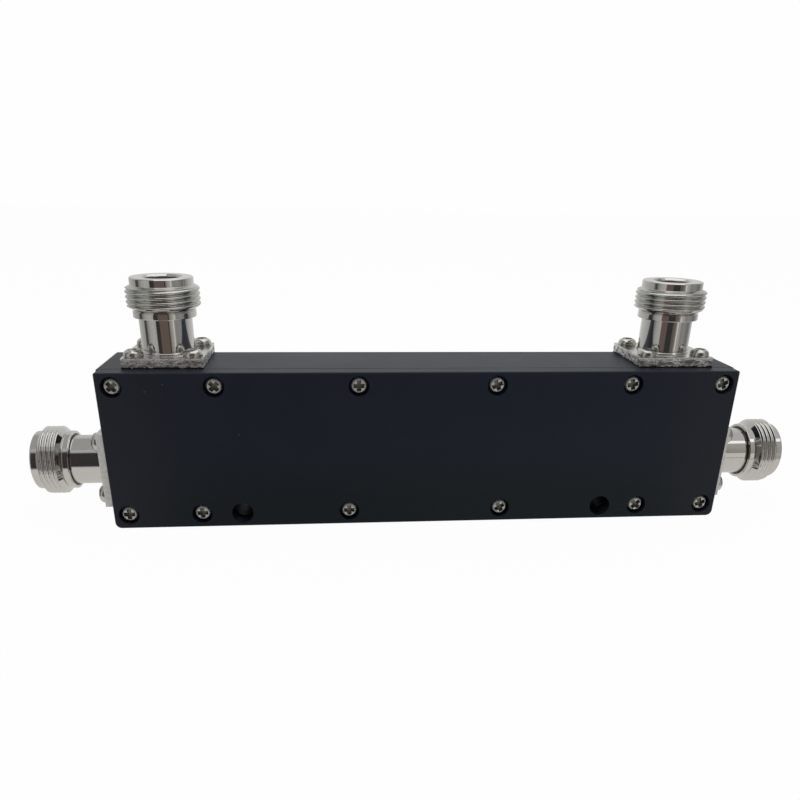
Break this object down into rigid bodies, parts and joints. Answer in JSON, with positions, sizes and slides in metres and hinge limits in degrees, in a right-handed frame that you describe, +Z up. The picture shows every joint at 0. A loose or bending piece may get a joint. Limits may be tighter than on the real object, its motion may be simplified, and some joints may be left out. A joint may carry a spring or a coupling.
{
  "type": "directional coupler",
  "caption": "Dual directional coupler: black milled housing with screwed front cover, a type N panel jack on each end and two on the top face.",
  "frame": {"origin": "middle of the lower narrow face, under the centre of the bounding box", "axes": "+Z up, cover plate faces -Y, main line along X, right end jack towards +X"},
  "size_m": [0.181, 0.0214, 0.0545],
  "materials": {
    "black_finish": "satin black on milled aluminium",
    "nickel_plate": "bright nickel on turned brass",
    "screw_nickel": "nickel plated steel",
    "white_dielectric": "turned white fluoropolymer",
    "gold_plate": "gold on spring bronze",
    "silver_plate": "silver on milled brass"
  },
  "bodies": {
    "root": {"housing_body": "black_finish", "cover_plate": "black_finish", "cover_screws": "screw_nickel", "main_line": "silver_plate", "coupled_line": "silver_plate", "line_support_left": "white_dielectric", "line_support_right": "white_dielectric", "jack_shell_left_end": "nickel_plate", "insulator_left_end": "white_dielectric", "contact_left_end": "gold_plate", "flange_screws_left_end": "screw_nickel", "jack_shell_right_end": "nickel_plate", "insulator_right_end": "white_dielectric", "contact_right_end": "gold_plate", "flange_screws_right_end": "screw_nickel", "jack_shell_left_top": "nickel_plate", "insulator_left_top": "white_dielectric", "contact_left_top": "gold_plate", "flange_screws_left_top": "screw_nickel", "jack_shell_right_top": "nickel_plate", "insulator_right_top": "white_dielectric", "contact_right_top": "gold_plate", "flange_screws_right_top": "screw_nickel"}
  },
  "joints": []
}
